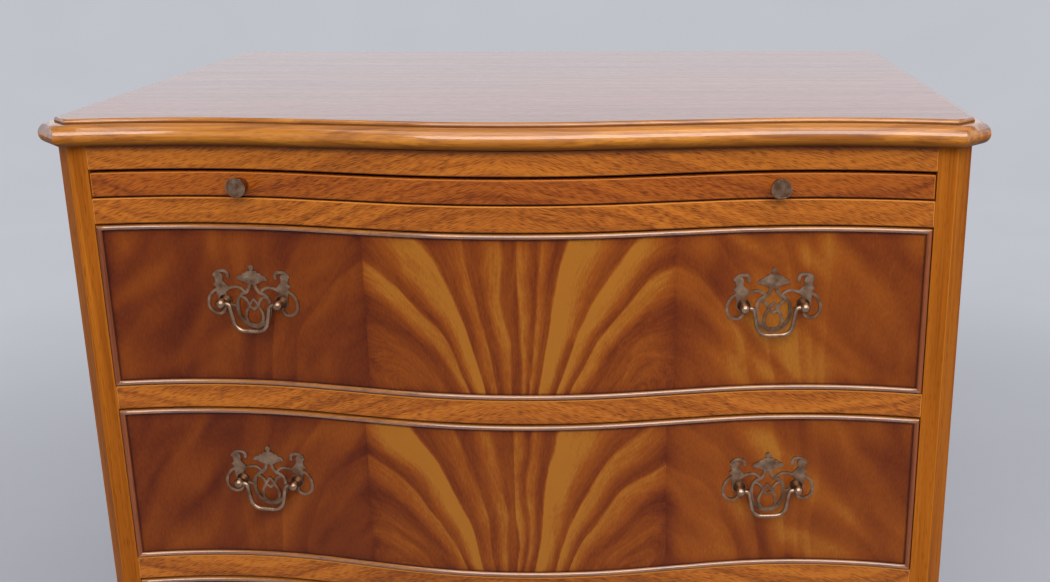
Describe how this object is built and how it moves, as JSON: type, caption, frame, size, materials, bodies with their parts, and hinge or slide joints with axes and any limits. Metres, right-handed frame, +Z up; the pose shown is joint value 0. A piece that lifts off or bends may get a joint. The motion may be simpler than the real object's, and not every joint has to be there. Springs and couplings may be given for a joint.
{
  "type": "serpentine chest of drawers",
  "caption": "Serpentine-fronted chest of long drawers under a brushing slide, with a moulded top, canted corners, swan-neck bail handles and bracket feet.",
  "frame": {"origin": "middle of the chest's overall box, at floor level", "axes": "+X to the right as seen from the front, -Y out of the front, +Z up"},
  "size_m": [0.808, 0.5249, 0.8817],
  "materials": {
    "top_mahogany": "polished, glossy wax over shellac",
    "flame_veneer": "polished flame veneer",
    "rail_mahogany": "polished veneer",
    "post_mahogany": "polished, straight grain",
    "side_mahogany": "polished, straight grain",
    "base_mahogany": "polished moulding",
    "bead_mahogany": "polished bead",
    "slide_mahogany": "satin wax",
    "drawer_oak": "dry, unpolished",
    "carcass_pine": "dry, unpolished",
    "brass": "antique brass, worn bright on the high places"
  },
  "bodies": {
    "carcass": {"top": "top_mahogany", "back_boards": "carcass_pine", "bottom_board": "carcass_pine", "dustboards": "carcass_pine", "drawer_runners": "drawer_oak", "slide_kickers": "drawer_oak", "drawer_stops": "drawer_oak", "base_moulding": "base_mahogany", "foot_blocks": "carcass_pine", "side_left": "side_mahogany", "side_right": "side_mahogany", "corner_post_left": "post_mahogany", "corner_post_right": "post_mahogany", "foot_front_left": "base_mahogany", "foot_front_right": "base_mahogany", "foot_rear_left": "base_mahogany", "foot_rear_right": "base_mahogany", "top_rail": "rail_mahogany", "slide_rail": "rail_mahogany", "drawer_rail_1": "rail_mahogany", "drawer_rail_2": "rail_mahogany", "drawer_rail_3": "rail_mahogany", "bottom_rail": "rail_mahogany"},
    "brushing_slide": {"slide_panel": "slide_mahogany", "slide_clamps": "slide_mahogany", "slide_lipping": "rail_mahogany", "slide_pegs": "drawer_oak", "slide_knobs": "brass"},
    "drawer_1": {"drawer_1_front": "flame_veneer", "drawer_1_cockbead": "bead_mahogany", "drawer_1_box": "drawer_oak", "drawer_1_bottom": "drawer_oak", "drawer_1_backplates": "brass", "drawer_1_handle_posts": "brass"},
    "drawer_1_bail_left": {"drawer_1_bail_left": "brass"},
    "drawer_1_bail_right": {"drawer_1_bail_right": "brass"},
    "drawer_2": {"drawer_2_front": "flame_veneer", "drawer_2_cockbead": "bead_mahogany", "drawer_2_box": "drawer_oak", "drawer_2_bottom": "drawer_oak", "drawer_2_backplates": "brass", "drawer_2_handle_posts": "brass"},
    "drawer_2_bail_left": {"drawer_2_bail_left": "brass"},
    "drawer_2_bail_right": {"drawer_2_bail_right": "brass"},
    "drawer_3": {"drawer_3_front": "flame_veneer", "drawer_3_cockbead": "bead_mahogany", "drawer_3_box": "drawer_oak", "drawer_3_bottom": "drawer_oak", "drawer_3_backplates": "brass", "drawer_3_handle_posts": "brass"},
    "drawer_3_bail_left": {"drawer_3_bail_left": "brass"},
    "drawer_3_bail_right": {"drawer_3_bail_right": "brass"},
    "drawer_4": {"drawer_4_front": "flame_veneer", "drawer_4_cockbead": "bead_mahogany", "drawer_4_box": "drawer_oak", "drawer_4_bottom": "drawer_oak", "drawer_4_backplates": "brass", "drawer_4_handle_posts": "brass"},
    "drawer_4_bail_left": {"drawer_4_bail_left": "brass"},
    "drawer_4_bail_right": {"drawer_4_bail_right": "brass"}
  },
  "joints": [
    {"name": "brushing_slide_pull", "type": "slide", "parent": "carcass", "child": "brushing_slide", "axis": [0, -1, 0], "range_m": [0, 0.268]},
    {"name": "drawer_1_pull", "type": "slide", "parent": "carcass", "child": "drawer_1", "axis": [0, -1, 0], "range_m": [0, 0.36]},
    {"name": "drawer_1_bail_left_swing", "type": "hinge", "parent": "drawer_1", "child": "drawer_1_bail_left", "pos_m": [-0.2289, -0.23668, 0.7187], "axis": [-0.9967, 0.0816, 0], "range_deg": [-15, 190]},
    {"name": "drawer_1_bail_right_swing", "type": "hinge", "parent": "drawer_1", "child": "drawer_1_bail_right", "pos_m": [0.2289, -0.23668, 0.7187], "axis": [-0.9967, -0.0816, 0], "range_deg": [-15, 190]},
    {"name": "drawer_2_pull", "type": "slide", "parent": "carcass", "child": "drawer_2", "axis": [0, -1, 0], "range_m": [0, 0.36]},
    {"name": "drawer_2_bail_left_swing", "type": "hinge", "parent": "drawer_2", "child": "drawer_2_bail_left", "pos_m": [-0.2289, -0.23668, 0.5453], "axis": [-0.9967, 0.0816, 0], "range_deg": [-15, 190]},
    {"name": "drawer_2_bail_right_swing", "type": "hinge", "parent": "drawer_2", "child": "drawer_2_bail_right", "pos_m": [0.2289, -0.23668, 0.5453], "axis": [-0.9967, -0.0816, 0], "range_deg": [-15, 190]},
    {"name": "drawer_3_pull", "type": "slide", "parent": "carcass", "child": "drawer_3", "axis": [0, -1, 0], "range_m": [0, 0.36]},
    {"name": "drawer_3_bail_left_swing", "type": "hinge", "parent": "drawer_3", "child": "drawer_3_bail_left", "pos_m": [-0.2289, -0.23668, 0.3719], "axis": [-0.9967, 0.0816, 0], "range_deg": [-15, 190]},
    {"name": "drawer_3_bail_right_swing", "type": "hinge", "parent": "drawer_3", "child": "drawer_3_bail_right", "pos_m": [0.2289, -0.23668, 0.3719], "axis": [-0.9967, -0.0816, 0], "range_deg": [-15, 190]},
    {"name": "drawer_4_pull", "type": "slide", "parent": "carcass", "child": "drawer_4", "axis": [0, -1, 0], "range_m": [0, 0.36]},
    {"name": "drawer_4_bail_left_swing", "type": "hinge", "parent": "drawer_4", "child": "drawer_4_bail_left", "pos_m": [-0.2289, -0.23668, 0.1985], "axis": [-0.9967, 0.0816, 0], "range_deg": [-15, 190]},
    {"name": "drawer_4_bail_right_swing", "type": "hinge", "parent": "drawer_4", "child": "drawer_4_bail_right", "pos_m": [0.2289, -0.23668, 0.1985], "axis": [-0.9967, -0.0816, 0], "range_deg": [-15, 190]}
  ]
}
